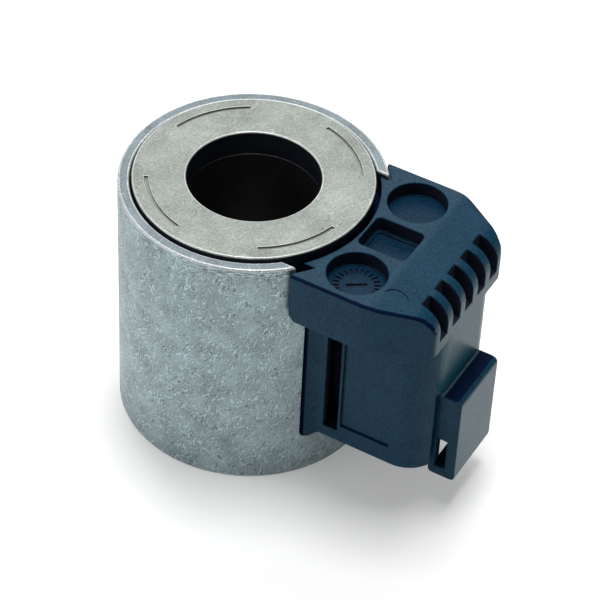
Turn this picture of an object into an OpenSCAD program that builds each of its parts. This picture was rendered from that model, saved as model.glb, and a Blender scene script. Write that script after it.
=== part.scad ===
// Solenoid coil for a hydraulic cartridge valve: a steel yoke tube with two pole plates, a wound bobbin
// and a moulded connector housing. The bore axis is Z, the base is at Z = 0 and the connector is at +X.

/* [Bore and yoke tube] */
// Bore through the coil for the valve's armature tube
bore_d = 18.2; // [16:0.1:20]
// Outside diameter of the yoke tube
yoke_d = 36.5; // [34:0.1:40]
// Wall of the yoke tube
yoke_wall = 1.6; // [1.2:0.1:2]
// Length of the yoke tube
yoke_h = 38.8; // [36:0.1:46]
// Chamfer round the outside of the rim
rim_chamfer = 0.3; // [0.1:0.05:1.1]

/* [Yoke window] */
// Width of the window that the moulding leaves through
window_w = 21.4; // [18:0.1:23]
// Height of the window's floor above the base
window_floor = 6.5; // [4.5:0.1:7]
// Radius in the window's lower corners
window_corner = 1.2; // [0.4:0.1:2]
// Radius where the window's sides meet the rim
window_round = 0.5; // [0.2:0.1:3]

/* [Pole plates] */
// Thickness of each pole plate
plate_t = 4; // [3:0.1:4.6]
// Radial gap between a plate and the yoke
plate_gap = 0.3; // [0.1:0.05:0.6]
// Height of the upper plate above the rim
plate_proud = 0.5; // [0:0.1:1]
// Chamfer round the upper plate's top edge
plate_chamfer = 0.2; // [0.1:0.1:0.8]
// Number of arcs stamped in the upper plate
arc_count = 4; // [2:1:6]
// Radius of the stamped arcs
arc_r = 14.4; // [12:0.1:15]
// Width of a stamped arc
arc_w = 0.55; // [0.2:0.05:0.8]
// Depth of a stamped arc
arc_depth = 0.3; // [0.1:0.05:0.6]
// Length of a stamped arc in degrees
arc_span = 44.5; // [20:0.5:55]
// Direction of the first arc's middle in degrees from the connector
arc_turn = 55; // [0:1:90]

/* [Bobbin and winding] */
// Radial gap between the bore and the bobbin
bobbin_gap = 0.1; // [0.05:0.05:0.3]
// Wall of the bobbin's tube
bobbin_wall = 0.9; // [0.6:0.1:1.4]
// Thickness of a bobbin flange
flange_t = 1.2; // [1:0.1:1.8]
// Depth of the flanges' edge outside the wrap
flange_lip = 0.55; // [0.3:0.05:0.8]
// Thickness of the insulating wrap
wrap_t = 0.2; // [0.1:0.05:0.3]
// Diameter of the wire ends
wire_d = 0.6; // [0.4:0.05:0.8]
// Width of the start lead's slot in the upper flange
lead_slot = 1; // [0.9:0.1:1.6]
// Height of the finish lead below the upper flange
finish_drop = 1.1; // [0.6:0.1:3]
// Gap round pieces that are wound or moulded in
fit_gap = 0.05; // [0.02:0.01:0.1]

/* [Moulded sleeve and neck] */
// Gap between the sleeve and the yoke
sleeve_gap = 0.15; // [0.05:0.05:0.3]
// Wall of the sleeve at the flanges
sleeve_wall = 1.45; // [1:0.05:1.8]
// Gap between the neck and each side of the window
neck_gap = 0.4; // [0.2:0.05:0.8]
// Gap between the neck and the window's floor
floor_gap = 0.15; // [0.05:0.05:0.4]
// Depth of the neck's flanks below the yoke's surface
neck_sink = 0.25; // [0.1:0.05:0.5]
// Radial step between the upper plate and the neck
neck_step = 0.7; // [0.4:0.05:1]

/* [Grip slab] */
// Width of the slab
slab_w = 26.7; // [24:0.1:30]
// Thickness of the slab
slab_t = 7.9; // [7:0.1:9]
// Height of the rim above the slab
slab_drop = 0.6; // [0.3:0.1:1.2]
// Gap between the slab and the yoke
slab_gap = 0.25; // [0.1:0.05:0.5]
// Width of the slab at its outer end
slab_end_w = 18.8; // [18.5:0.1:22]
// Length of the slab's tapered sides
slab_taper = 7.8; // [5:0.1:10]
// Length of the slab's sloping top
slope_len = 8.5; // [6:0.1:10]
// Fall of the sloping top
slope_fall = 1.5; // [0.5:0.1:2.5]
// Radius where the slope starts
slope_round = 4.2; // [1:0.1:6]
// Radius between the sloping top and the outer face
slab_round = 3.5; // [2:0.1:4.5]
// Radius where the sides start to taper
slab_shoulder = 7; // [1:0.1:10]
// Radius of the slab's outer corners
slab_corner = 1.2; // [0.4:0.1:2]
// Cut at the slab's lower inner corners
slab_cut = 1; // [0.2:0.1:1.5]
// Number of grip slots
grip_count = 5; // [3:1:5]
// Distance between grip slots
grip_pitch = 3.5; // [3:0.05:3.7]
// Width of a grip slot
grip_w = 2.05; // [1.4:0.05:2.4]
// Length of the grip slots
grip_len = 3.1; // [2:0.1:4]
// Height of the grip slots' floor above the slab's underside
grip_floor = 1.8; // [0.8:0.1:3]
// Diameter of the round recesses
recess_d = 8.1; // [6:0.1:8.6]
// Depth of all three recesses
recess_depth = 2.45; // [1:0.05:3]
// Distance of the round recesses from the middle plane
recess_y = 8.2; // [7.9:0.1:8.6]
// Distance of the round recesses outside the yoke
recess_x = 2.25; // [1.7:0.05:3]
// Length of the square recess
tray_len = 7.2; // [5:0.1:8]
// Width of the square recess
tray_w = 5.9; // [4:0.1:6.2]
// Distance of the square recess's middle outside the yoke
tray_x = 2.85; // [2.6:0.05:3.5]
// Radius in the square recess's corners
tray_corner = 0.8; // [0.3:0.1:1.5]

/* [Plug shroud] */
// Width of the shroud
shroud_w = 18.4; // [17.4:0.1:18.6]
// Radius of the shroud's outer corners
shroud_corner = 5; // [2:0.1:6]
// Height of the shroud's mouth above the base
mouth_z = 7.35; // [7.2:0.05:9]
// Wall on the shroud's outer side
outer_wall = 1.6; // [1.2:0.1:2.2]
// Wall on the shroud's front and back
side_wall = 1.5; // [1.1:0.1:2]
// Length of the plug cavity away from the yoke
cavity_x = 9.8; // [9:0.1:11]
// Radius in the plug cavity's corners
cavity_corner = 3.4; // [1:0.1:4.5]
// Thickness above the plug cavity, below the slab
cavity_roof = 4.3; // [4:0.1:6]
// Web between a side pocket and the plug cavity
web_t = 2.1; // [1.5:0.1:3]
// Width of a side pocket
pocket_w = 2.3; // [1.5:0.1:2.6]
// Depth of a side pocket
pocket_depth = 4.6; // [2:0.1:5]
// Inset of the side pockets behind the yoke's outermost line
pocket_inset = 1.05; // [0.6:0.05:1.1]
// Wall below a side pocket
pocket_sill = 1.85; // [1:0.05:3]
// Wall above a side pocket, below the slab
pocket_head = 0.8; // [0.4:0.1:2]
// Width of the groove below a side panel
panel_groove = 0.6; // [0.3:0.05:1]
// Depth of the grooves round a side panel
groove_depth = 0.45; // [0.2:0.05:0.8]
// Width of the groove at a side panel's inner edge
panel_line = 0.4; // [0.2:0.05:0.6]
// Rib between a side pocket and the panel's inner groove
panel_rib = 0.45; // [0.3:0.05:0.8]
// Length of the groove below a side panel
panel_len = 7.9; // [5:0.1:8.5]
// Height of the groove below a side panel above the mouth
panel_z = 3; // [2.4:0.1:4]

/* [Latch cage] */
// Width of the latch cage
latch_w = 10.7; // [9:0.1:11.4]
// Depth of the latch cage outside the shroud
latch_out = 2.9; // [2.4:0.1:4]
// Height of the latch cage above the mouth
latch_rise = 12.5; // [10:0.1:15]
// Depth of the latch cage below the mouth
latch_fall = 2.45; // [2:0.05:3]
// Radius of the latch cage's upper and lower edges
latch_round = 0.5; // [0.3:0.1:1.2]
// Radius of the latch cage's upright edges
latch_edge = 0.25; // [0.2:0.05:0.8]
// Outer wall of the latch cage
latch_wall = 1.55; // [1:0.05:1.8]
// Side walls of the latch cage
latch_cheek = 1.35; // [0.9:0.05:2]
// Floor of the latch cage
latch_floor = 1.6; // [1:0.05:1.9]
// Height of the latch window
latch_window = 5.25; // [4:0.05:7]
// Depth of the latch window behind the shroud's outer face
latch_in = 0.25; // [0.1:0.05:0.4]
// Depth of the latch floor behind the shroud's outer face
latch_lip = 0.7; // [0.5:0.05:1]

/* [Terminals] */
// Diameter of the contact pins
pin_d = 1.6; // [1.2:0.1:2]
// Diameter of a pin's root
root_d = 2.4; // [2.1:0.1:2.8]
// Distance between the pins
pin_pitch = 5.5; // [5:0.1:6]
// Offset of the pins from the cavity's middle towards the yoke
pin_shift = 0.5; // [0:0.1:1]
// Depth of the pins' tips behind the mouth
pin_set = 4.2; // [3:0.1:8]
// Length of a pin's root
root_len = 2.5; // [1.6:0.1:3]
// Width of a terminal strip
strip_w = 2.4; // [1.6:0.1:2.8]
// Thickness of a terminal strip
strip_t = 0.8; // [0.4:0.1:1]
// Inset of the strips' upright ends behind the yoke's outermost line
strip_inset = 0.95; // [0.7:0.05:1]

/* [Hidden] */
$fn = 96;
// Excess that a cut reaches past the face it opens
over = 1;
// Overlap between the moulding's own shapes
merge = 0.2;
// Steps in a rounded corner of an outline
corner_steps = 8;
// Rise of the window's flare above the rim
flare_rise = 0.02;

bore_r = bore_d / 2;
yoke_r = yoke_d / 2;
yoke_in = yoke_r - yoke_wall;
plate_r = yoke_in - plate_gap;
upper_z = yoke_h + plate_proud - plate_t;

bobbin_in = bore_r + bobbin_gap;
bobbin_out = bobbin_in + bobbin_wall;
sleeve_out = yoke_in - sleeve_gap;
sleeve_in = sleeve_out - sleeve_wall;
flange_r = sleeve_in - fit_gap;
wrap_r = flange_r - flange_lip;
winding_r = wrap_r - wrap_t - fit_gap;
spool_low = plate_t + flange_t;
spool_high = upper_z - flange_t;

neck_w = window_w - 2 * neck_gap;
neck_z = window_floor + floor_gap;
slab_top = yoke_h - slab_drop;
slab_z = slab_top - slab_t;
slab_in = yoke_r + slab_gap;
slab_x = sqrt(max(0, pow(slab_in, 2) - pow(slab_w / 2, 2)));

pocket_x = yoke_r - pocket_inset;
panel_x = pocket_x + pocket_w + panel_rib;
cavity_in = pocket_x + pocket_w + web_t;
cavity_out = cavity_in + cavity_x;
outer_x = cavity_out + outer_wall;
cavity_w = shroud_w - 2 * side_wall;
cavity_z = slab_z - cavity_roof;

latch_x = outer_x + latch_out;
latch_z = mouth_z - latch_fall;
latch_top = mouth_z + latch_rise;
latch_sill = latch_z + latch_floor;
latch_gap_x = outer_x - latch_in;

pin_x = (cavity_in + cavity_out) / 2 - pin_shift;
pin_y = pin_pitch / 2;
pin_r = pin_d / 2;
pin_z = mouth_z + pin_set + pin_r;
strip_z = cavity_z + root_len;
strip_x = yoke_r - strip_inset;
wire_r = wire_d / 2;
start_z = spool_high + wire_r + fit_gap;
finish_z = spool_high - finish_drop;
start_x = bobbin_out + wire_d;
finish_x = sqrt(pow(winding_r, 2) - pow(pin_y - wire_r, 2)) + fit_gap;

function unit(v) = v / norm(v);

// Points that round the corner b between a and c with radius r
function corner(a, b, c, r) =
    r == 0 ? [b] :
    let (
        u = unit(a - b),
        w = unit(c - b),
        half = acos(u * w) / 2,
        centre = b + unit(u + w) * r / sin(half),
        first = b + u * r / tan(half) - centre,
        from = atan2(first.y, first.x),
        step = (180 - 2 * half) * sign(cross(b - a, c - b)) / corner_steps
    )
    [for (i = [0:corner_steps]) centre + r * [cos(from + step * i), sin(from + step * i)]];

// Outline through points [x, y, corner radius]
function outline(p) =
    let (n = len(p), q = [for (v = p) [v.x, v.y]])
    [for (i = [0:n - 1]) each corner(q[(i + n - 1) % n], q[i], q[(i + 1) % n], p[i].z)];

// Prism along X from an outline in Y and Z
module along_x(x0, x1, points)
    translate([x0, 0, 0]) rotate([90, 0, 90]) linear_extrude(x1 - x0) polygon(points);

// Prism along Y from an outline in X and Z
module along_y(y0, y1, points)
    translate([0, y1, 0]) rotate([90, 0, 0]) linear_extrude(y1 - y0) polygon(points);

// Prism along Z from an outline in X and Y
module along_z(z0, z1, points)
    translate([0, 0, z0]) linear_extrude(z1 - z0) polygon(points);

// Box between two corners
module block(low, high)
    translate(low) cube(high - low);

module ring(r_in, r_out, z0, z1)
    translate([0, 0, z0]) difference() {
        cylinder(r = r_out, h = z1 - z0);
        translate([0, 0, -over]) cylinder(r = r_in, h = z1 - z0 + 2 * over);
    }

// Wire along X at the given side and height
module wire(x0, x1, y, z, r)
    translate([x0, y, z]) rotate([0, 90, 0]) cylinder(r = r, h = x1 - x0);

module yoke_tube() color("#9ba3a2")
    difference() {
        rotate_extrude() polygon([[yoke_in, 0], [yoke_r, 0], [yoke_r, yoke_h - rim_chamfer],
            [yoke_r - rim_chamfer, yoke_h], [yoke_in, yoke_h]]);
        along_x(0, yoke_r + over, window_outline());
    }

function window_outline() =
    let (w = window_w / 2, top = yoke_h + flare_rise, side = w + window_round + over)
    outline([[-w, window_floor, window_corner], [w, window_floor, window_corner],
        [w, top, window_round], [side, top, 0], [side, top + over, 0],
        [-side, top + over, 0], [-side, top, 0], [-w, top, window_round]]);

module upper_pole_plate() color("#a9aca4")
    difference() {
        rotate_extrude() polygon([[bore_r, upper_z], [plate_r, upper_z],
            [plate_r, upper_z + plate_t - plate_chamfer], [plate_r - plate_chamfer, upper_z + plate_t],
            [bore_r, upper_z + plate_t]]);
        for (i = [0:arc_count - 1])
            rotate(arc_turn - arc_span / 2 + i * 360 / arc_count) stamped_arc();
    }

module stamped_arc()
    translate([0, 0, upper_z + plate_t - arc_depth]) rotate_extrude(angle = arc_span)
        translate([arc_r - arc_w / 2, 0]) square([arc_w, arc_depth + over]);

module lower_pole_plate() color("#a9aca4")
    ring(bore_r, plate_r, 0, plate_t);

module bobbin() color("#2b2d30")
    difference() {
        rotate_extrude() polygon([[bobbin_in, plate_t], [flange_r, plate_t], [flange_r, spool_low],
            [bobbin_out, spool_low], [bobbin_out, spool_high], [flange_r, spool_high],
            [flange_r, upper_z], [bobbin_in, upper_z]]);
        block([bobbin_out, pin_y - lead_slot / 2, spool_high - over],
            [flange_r + over, pin_y + lead_slot / 2, upper_z + over]);
    }

module winding() color("#b5652b")
    ring(bobbin_out + fit_gap, winding_r, spool_low + fit_gap, spool_high - fit_gap);

module winding_wrap() color("#c9b458")
    difference() {
        ring(winding_r + fit_gap, wrap_r, spool_low + fit_gap, spool_high - fit_gap);
        wire(0, yoke_r, -pin_y, finish_z, wire_r + fit_gap);
    }

module start_lead() color("#b5652b")
    union() {
        wire(start_x, strip_x, pin_y, start_z, wire_r);
        translate([start_x, pin_y, spool_high - fit_gap])
            cylinder(r = wire_r, h = start_z - spool_high + fit_gap);
        translate([start_x, pin_y, start_z]) sphere(r = wire_r);
    }

module finish_lead() color("#b5652b")
    wire(finish_x, strip_x, -pin_y, finish_z, wire_r);

// Flat strip on a pin's root, turned up at its inner end to meet a lead
module terminal(y, lead_z, grow = 0)
    translate([0, y, 0]) {
        block([strip_x - grow, -strip_w / 2 - grow, strip_z - grow],
            [pin_x + strip_w / 2 + grow, strip_w / 2 + grow, strip_z + strip_t + grow]);
        block([strip_x - grow, -strip_w / 2 - grow, strip_z - grow],
            [strip_x + strip_t + grow, strip_w / 2 + grow, lead_z + wire_r + grow]);
    }

module start_terminal() color("#c7b36a") terminal(pin_y, start_z);
module finish_terminal() color("#c7b36a") terminal(-pin_y, finish_z);

// Male contact with a round tip below and a thicker root in the moulding
module contact(y)
    translate([pin_x, y, 0]) {
        translate([0, 0, cavity_z]) cylinder(d = root_d, h = root_len);
        translate([0, 0, pin_z]) cylinder(r = pin_r, h = cavity_z - pin_z + merge);
        translate([0, 0, pin_z]) sphere(r = pin_r);
    }

module start_pin() color("#b9bcc0") contact(pin_y);
module finish_pin() color("#b9bcc0") contact(-pin_y);

// Sleeve round the winding, between the plates and inside the yoke
module sleeve()
    rotate_extrude() polygon([[sleeve_out, plate_t], [sleeve_out, upper_z], [sleeve_in, upper_z],
        [sleeve_in, spool_high - fit_gap], [wrap_r + fit_gap, spool_high - fit_gap],
        [wrap_r + fit_gap, spool_low + fit_gap], [sleeve_in, spool_low + fit_gap], [sleeve_in, plate_t]]);

// Neck through the yoke's window, out to the slab and the shroud
module neck()
    difference() {
        union() {
            intersection() {
                bar(neck_w, slab_in, neck_z, slab_z + merge);
                cylinder(r = yoke_r - neck_sink, h = yoke_h);
            }
            bar(neck_w, slab_in, slab_z, slab_top);
            bar(min(neck_w, shroud_w), pocket_x, mouth_z, slab_z + merge);
        }
        translate([0, 0, -over]) cylinder(r = sleeve_out - sleeve_wall / 2, h = upper_z + over);
        translate([0, 0, upper_z - merge]) cylinder(r = plate_r + neck_step, h = yoke_h);
    }

// Straight bar from the bore's axis out to x
module bar(w, x, z0, z1)
    block([0, -w / 2, z0], [x, w / 2, z1]);

module slab()
    difference() {
        intersection() {
            along_z(slab_z - over, slab_top + over, outline([
                [0, -slab_w / 2, 0],
                [outer_x - slab_taper, -slab_w / 2, slab_shoulder],
                [outer_x, -slab_end_w / 2, slab_corner],
                [outer_x, slab_end_w / 2, slab_corner],
                [outer_x - slab_taper, slab_w / 2, slab_shoulder],
                [0, slab_w / 2, 0]]));
            along_y(-slab_w, slab_w, outline([
                [slab_x + slab_cut, slab_z, 0],
                [outer_x, slab_z, 0],
                [outer_x, slab_top - slope_fall, slab_round],
                [outer_x - slope_len, slab_top, slope_round],
                [0, slab_top, 0],
                [0, slab_z + slab_cut, 0],
                [slab_x, slab_z + slab_cut, 0]]));
        }
        translate([0, 0, slab_z - over]) cylinder(r = slab_in, h = slab_t + 2 * over);
    }

module slab_cuts() {
    for (i = [0:grip_count - 1]) {
        y = (i - (grip_count - 1) / 2) * grip_pitch;
        block([outer_x - grip_len, y - grip_w / 2, slab_z + grip_floor],
            [outer_x + over, y + grip_w / 2, slab_top + over]);
    }
    for (side = [-1, 1])
        translate([yoke_r + recess_x, side * recess_y, slab_top - recess_depth])
            cylinder(d = recess_d, h = recess_depth + over);
    along_z(slab_top - recess_depth, slab_top + over, outline([
        for (c = [[-1, -1], [1, -1], [1, 1], [-1, 1]])
            [yoke_r + tray_x + c.x * tray_len / 2, c.y * tray_w / 2, tray_corner]]));
}

module shroud()
    along_z(mouth_z, slab_z + merge, outline([
        [pocket_x - merge, -shroud_w / 2, 0],
        [outer_x, -shroud_w / 2, shroud_corner],
        [outer_x, shroud_w / 2, shroud_corner],
        [pocket_x - merge, shroud_w / 2, 0]]));

// Cavity for the plug, open at the mouth
module plug_cavity()
    along_z(mouth_z - over, cavity_z, outline([
        for (c = [[0, -1], [1, -1], [1, 1], [0, 1]])
            [cavity_in + c.x * cavity_x, c.y * cavity_w / 2, cavity_corner]]));

// Side pocket and the grooves that frame a side panel
module side_cuts(side)
    mirror([0, side < 0 ? 1 : 0, 0]) {
        block([pocket_x, shroud_w / 2 - pocket_depth, mouth_z + pocket_sill],
            [pocket_x + pocket_w, shroud_w / 2 + over, slab_z - pocket_head]);
        block([panel_x, shroud_w / 2 - groove_depth, mouth_z + panel_z],
            [panel_x + panel_line, shroud_w / 2 + over, slab_z - pocket_head]);
        block([panel_x, shroud_w / 2 - groove_depth, mouth_z + panel_z],
            [panel_x + panel_len, shroud_w / 2 + over, mouth_z + panel_z + panel_groove]);
    }

// Cage on the shroud's outer face that the plug's latch snaps into
module latch_cage()
    intersection() {
        along_y(-latch_w, latch_w, outline([
            [outer_x - latch_lip, latch_z, 0],
            [latch_x, latch_z, latch_round],
            [latch_x, latch_top, latch_round],
            [outer_x - latch_lip, latch_top, 0]]));
        along_z(latch_z - over, latch_top + over, outline([
            [outer_x - latch_lip - over, -latch_w / 2, 0],
            [latch_x, -latch_w / 2, latch_edge],
            [latch_x, latch_w / 2, latch_edge],
            [outer_x - latch_lip - over, latch_w / 2, 0]]));
    }

module latch_cuts() {
    block([latch_gap_x, -latch_w, latch_sill], [latch_x - latch_wall, latch_w, latch_sill + latch_window]);
    block([cavity_out - merge, -latch_w / 2 + latch_cheek, latch_sill],
        [latch_gap_x + merge, latch_w / 2 - latch_cheek, latch_sill + latch_window]);
}

// Channels that the terminals, leads and pin roots are moulded into
module moulded_in() {
    terminal(pin_y, start_z, fit_gap);
    terminal(-pin_y, finish_z, fit_gap);
    wire(bobbin_out, strip_x, pin_y, start_z, wire_r + fit_gap);
    wire(bobbin_out, strip_x, -pin_y, finish_z, wire_r + fit_gap);
    for (side = [-1, 1])
        translate([pin_x, side * pin_y, cavity_z - over])
            cylinder(r = root_d / 2 + fit_gap, h = root_len + over);
}

module connector_housing() color("#22384a")
    difference() {
        union() {
            sleeve();
            neck();
            slab();
            shroud();
            latch_cage();
        }
        plug_cavity();
        for (side = [-1, 1]) side_cuts(side);
        slab_cuts();
        latch_cuts();
        moulded_in();
    }

yoke_tube();
upper_pole_plate();
lower_pole_plate();
bobbin();
winding();
winding_wrap();
start_lead();
finish_lead();
start_terminal();
finish_terminal();
start_pin();
finish_pin();
connector_housing();
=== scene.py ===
import math

import bmesh
import bpy
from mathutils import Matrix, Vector


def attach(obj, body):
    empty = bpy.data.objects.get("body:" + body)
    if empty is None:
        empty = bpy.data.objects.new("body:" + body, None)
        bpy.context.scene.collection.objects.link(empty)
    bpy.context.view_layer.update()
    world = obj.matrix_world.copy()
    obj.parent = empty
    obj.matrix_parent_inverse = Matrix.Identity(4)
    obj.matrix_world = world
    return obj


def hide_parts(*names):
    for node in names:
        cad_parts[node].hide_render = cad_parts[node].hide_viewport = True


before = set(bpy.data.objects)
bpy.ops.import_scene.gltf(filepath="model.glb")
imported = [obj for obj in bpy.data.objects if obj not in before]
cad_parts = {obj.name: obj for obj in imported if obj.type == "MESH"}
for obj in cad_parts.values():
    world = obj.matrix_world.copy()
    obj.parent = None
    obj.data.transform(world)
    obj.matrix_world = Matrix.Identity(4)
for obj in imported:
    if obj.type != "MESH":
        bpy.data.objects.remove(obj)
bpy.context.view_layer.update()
print("frame loaded:", len(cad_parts), "nodes")

# Shapes are built in millimetres and shrunk to metres when they are finished
toMetres = 0.001
hair = 0.01  # places closer than this are the same
slack = 0.05  # margin for finding faces and edges by their place
over = 1.0  # how far a cutter reaches past what it cuts
facing = 0.9  # least part of a normal for a face that looks one way
straight = 0.98  # the same, for a face that looks straight that way
roundSteps = 6
softSteps = 3
meshLimits = dict(join=0.001, merge=0.02, flat=0.3, sharp=35, smooth=40)  # two lengths, three angles in degrees


# Modelling helpers

def makeActive(shape):
    bpy.ops.object.select_all(action="DESELECT")
    shape.select_set(True)
    bpy.context.view_layer.objects.active = shape


def applyPlace(shape):
    makeActive(shape)
    bpy.ops.object.transform_apply(location=True, rotation=True, scale=True)


def addBlock(name, low, high):  # box between two corners
    bpy.ops.object.select_all(action="DESELECT")
    bpy.ops.mesh.primitive_cube_add(size=1, location=[(a + b) / 2 for a, b in zip(low, high)])
    block = bpy.context.object
    block.name = name
    block.scale = [b - a for a, b in zip(low, high)]
    applyPlace(block)
    return block


def addRod(name, radius, z0, z1, x=0, y=0, sides=160):  # upright cylinder
    bpy.ops.object.select_all(action="DESELECT")
    bpy.ops.mesh.primitive_cylinder_add(
        vertices=sides, radius=radius, depth=z1 - z0, location=(x, y, (z0 + z1) / 2))
    rod = bpy.context.object
    rod.name = name
    applyPlace(rod)
    return rod


def pick(shape, kind, test):  # edit mode, with the edges or faces selected that pass the test
    makeActive(shape)
    bpy.ops.object.mode_set(mode="EDIT")
    bpy.ops.mesh.select_mode(type=kind)
    bpy.ops.mesh.select_all(action="DESELECT")
    mesh = bmesh.from_edit_mesh(shape.data)
    for part in mesh.edges if kind == "EDGE" else mesh.faces:
        if test(part):
            part.select_set(True)
    bmesh.update_edit_mesh(shape.data)


def drawOut(shape, test, steps, base=0.0):  # extrudes faces step by step: move, then scale about the base height
    pick(shape, "FACE", test)
    for move, resize in steps:
        bpy.ops.mesh.extrude_region_move(TRANSFORM_OT_translate={"value": move})
        bpy.ops.transform.resize(value=resize, center_override=(0, 0, base))
    bpy.ops.object.mode_set(mode="OBJECT")


def roundEdges(shape, test, width, steps=roundSteps):
    pick(shape, "EDGE", test)
    bpy.ops.mesh.bevel(offset=width, segments=steps, affect="EDGES")
    bpy.ops.object.mode_set(mode="OBJECT")


def trim(shape, point, normal):  # cuts away what the normal points to
    makeActive(shape)
    bpy.ops.object.mode_set(mode="EDIT")
    bpy.ops.mesh.select_all(action="SELECT")
    length = math.hypot(*normal)
    bpy.ops.mesh.bisect(plane_co=point, plane_no=[n / length for n in normal],
                        use_fill=True, clear_outer=True)
    bpy.ops.object.mode_set(mode="OBJECT")


def combine(shape, operation, *others):
    for other in others:
        makeActive(shape)
        bpy.ops.object.modifier_add(type="BOOLEAN")
        tool = shape.modifiers[-1]
        tool.operation = operation
        tool.solver = "MANIFOLD"
        tool.object = other
        bpy.ops.object.modifier_apply(modifier=tool.name)
        bpy.data.objects.remove(other)


def dress(shape, *materials):
    shape.data.materials.clear()
    for material in materials:
        shape.data.materials.append(material)


def paintFaces(shape, material, test):  # gives a material to the faces that pass the test
    slot = shape.data.materials.find(material.name)
    for face in shape.data.polygons:
        if test(face.center, face.normal):
            face.material_index = slot


def cleanMesh(shape):  # closes slivers and joins flat faces that the cuts left in pieces
    makeActive(shape)
    bpy.ops.object.mode_set(mode="EDIT")
    bpy.ops.mesh.select_all(action="SELECT")
    bpy.ops.mesh.remove_doubles(threshold=meshLimits["merge"])
    bpy.ops.mesh.dissolve_limited(angle_limit=math.radians(meshLimits["flat"]), delimit={"MATERIAL"})
    bpy.ops.object.mode_set(mode="OBJECT")


def softenEdges(shape, width, material, weigh):  # round on the sharp edges, as wide as each one's weight makes it
    cleanMesh(shape)
    bpy.ops.object.mode_set(mode="EDIT")
    mesh = bmesh.from_edit_mesh(shape.data)
    weight = mesh.edges.layers.float.new("bevel_weight_edge")
    for edge in mesh.edges:
        if edge.is_manifold and edge.calc_face_angle() > math.radians(meshLimits["sharp"]):
            edge[weight] = weigh(edge)
    bmesh.update_edit_mesh(shape.data)
    bpy.ops.object.mode_set(mode="OBJECT")
    bpy.ops.object.modifier_add(type="BEVEL")
    soften = shape.modifiers[-1]
    soften.width = width
    soften.segments = softSteps
    soften.limit_method = "WEIGHT"
    soften.use_clamp_overlap = False
    soften.material = shape.data.materials.find(material.name)
    bpy.ops.object.modifier_apply(modifier=soften.name)


def addArc(name, radius, width, depth, span, steps=24):  # part of a flat ring, from the X axis on
    bpy.ops.object.select_all(action="DESELECT")
    bpy.ops.mesh.primitive_plane_add(size=1, location=(radius, 0, 0), rotation=(math.pi / 2, 0, 0))
    arc = bpy.context.object
    arc.name = name
    arc.scale = (width, depth, 1)
    applyPlace(arc)
    bpy.ops.object.mode_set(mode="EDIT")
    bpy.ops.mesh.select_all(action="SELECT")
    bpy.ops.mesh.spin(steps=steps, angle=-math.radians(span), center=(0, 0, 0), axis=(0, 0, 1))
    bpy.ops.mesh.select_all(action="SELECT")
    bpy.ops.mesh.remove_doubles(threshold=meshLimits["join"])
    bpy.ops.mesh.normals_make_consistent(inside=False)
    bpy.ops.object.mode_set(mode="OBJECT")
    return arc


def moveTo(shape, place, turn=(0, 0, 0)):  # turn in degrees, then shift
    shape.rotation_euler = [math.radians(a) for a in turn]
    shape.location = place
    applyPlace(shape)
    return shape


def finishPiece(shape, replaced):
    shape.scale = (toMetres, toMetres, toMetres)
    applyPlace(shape)
    bpy.ops.object.shade_smooth_by_angle(angle=math.radians(meshLimits["smooth"]))
    bpy.ops.object.modifier_add(type="WEIGHTED_NORMAL")
    shape.modifiers[-1].keep_sharp = True
    bpy.ops.object.modifier_apply(modifier=shape.modifiers[-1].name)
    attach(shape, "root")
    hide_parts(replaced)
    print("finished", shape.name, len(shape.data.polygons), "faces")


def ends(edge):
    return edge.verts[0].co, edge.verts[1].co


def isUpright(edge):
    a, b = ends(edge)
    return (a.xy - b.xy).length < hair


def isAlongX(edge):
    a, b = ends(edge)
    return (a.yz - b.yz).length < hair


def isAlongY(edge):
    a, b = ends(edge)
    return (a.xz - b.xz).length < hair


# Shader helpers

def newMaterial(name):
    material = bpy.data.materials.new(name)
    material.use_nodes = True
    return material, material.node_tree, material.node_tree.nodes["Principled BSDF"]


def feed(tree, socket, value):  # links a socket to another one, or sets its value
    if isinstance(value, bpy.types.NodeSocket):
        tree.links.new(value, socket)
    else:
        socket.default_value = value


def addNode(tree, kind, inputs=None, **settings):
    node = tree.nodes.new("ShaderNode" + kind)
    for name, value in settings.items():
        setattr(node, name, value)
    for name, value in (inputs or {}).items():
        feed(tree, node.inputs[name], value)
    return node


def addMath(tree, operation, a, b=0.0):
    return addNode(tree, "Math", {0: a, 1: b}, operation=operation).outputs[0]


def addScaled(tree, base, value, factor):  # base plus value times factor
    return addMath(tree, "ADD", base, addMath(tree, "MULTIPLY", value, factor))


def addVector(tree, operation, a, b):
    return addNode(tree, "VectorMath", {0: a, 1: b}, operation=operation).outputs[0]


def addMix(tree, factor, a, b):  # colour mix, whose colour sockets are the seventh, the eighth and the third
    mix = addNode(tree, "Mix", data_type="RGBA")
    for socket, value in ((mix.inputs[0], factor), (mix.inputs[6], a), (mix.inputs[7], b)):
        feed(tree, socket, value)
    return mix.outputs[2]


def addRange(tree, value, low, high, toLow=0.0, toHigh=1.0):
    return addNode(tree, "MapRange", {"Value": value, "From Min": low, "From Max": high,
                                      "To Min": toLow, "To Max": toHigh}).outputs["Result"]


def newGroup(name, inputs, outputs):
    tree = bpy.data.node_groups.new(name, "ShaderNodeTree")
    for label, kind, value in inputs:
        socket = tree.interface.new_socket(label, in_out="INPUT", socket_type="NodeSocket" + kind)
        if value is not None:
            socket.default_value = value
    for label, kind in outputs:
        tree.interface.new_socket(label, in_out="OUTPUT", socket_type="NodeSocket" + kind)
    return tree, tree.nodes.new("NodeGroupInput").outputs, tree.nodes.new("NodeGroupOutput").inputs


def placeGroup(tree, group, inputs):
    return addNode(tree, "Group", inputs, node_tree=group).outputs


# Short nicks, one in each cell, each turned its own way
scuffSizes = dict(fullTurn=6.283, lengths=(0.35, 1.0))


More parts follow.
